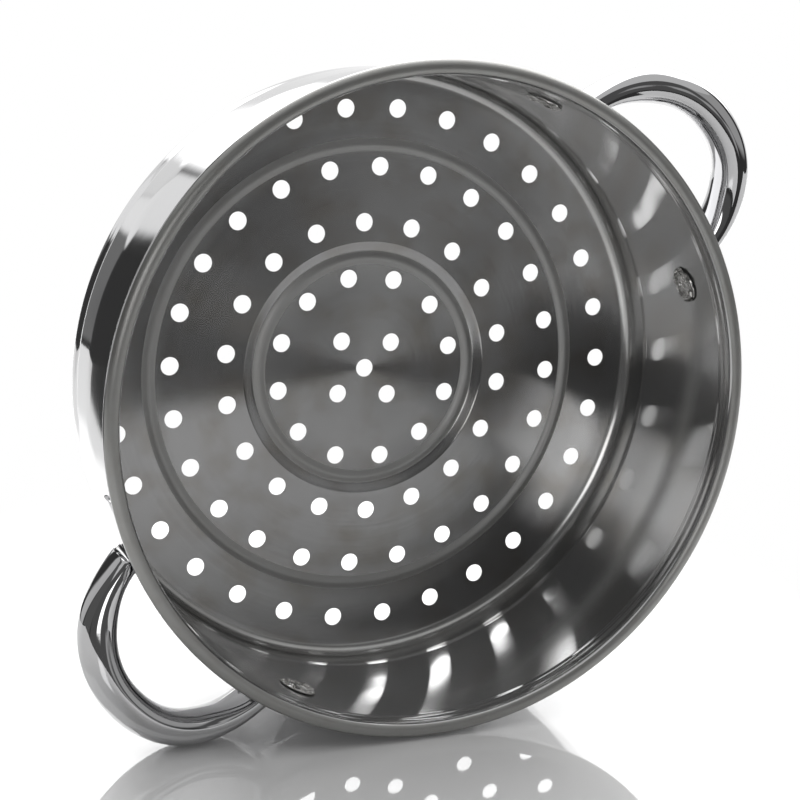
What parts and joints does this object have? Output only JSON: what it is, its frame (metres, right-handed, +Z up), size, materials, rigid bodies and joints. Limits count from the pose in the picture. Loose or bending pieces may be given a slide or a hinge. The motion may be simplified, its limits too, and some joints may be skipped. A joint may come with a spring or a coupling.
{
  "type": "steamer basket",
  "caption": "Round perforated stainless steel steamer basket with a curled rim and two spot-welded tube handles, set on a saucepan to steam food.",
  "frame": {"origin": "on the basket's own axis, at the height of the underside of the base, on which it stands", "axes": "+Z up the basket's axis to its mouth; the two handles lie along +X and -X, each about a degree off it towards -Y"},
  "size_m": [0.2706, 0.2092, 0.0678],
  "materials": {
    "satin_stainless": "circular brushed inside, polished outside",
    "polished_stainless": "mirror polished",
    "weld_stainless": "spot-weld mark, dressed but uneven"
  },
  "bodies": {
    "root": {"basket_bowl": "satin_stainless", "handle_right": "polished_stainless", "handle_left": "polished_stainless", "spot_weld_right_rear": "weld_stainless", "spot_weld_right_front": "weld_stainless", "spot_weld_left_rear": "weld_stainless", "spot_weld_left_front": "weld_stainless"}
  },
  "joints": []
}
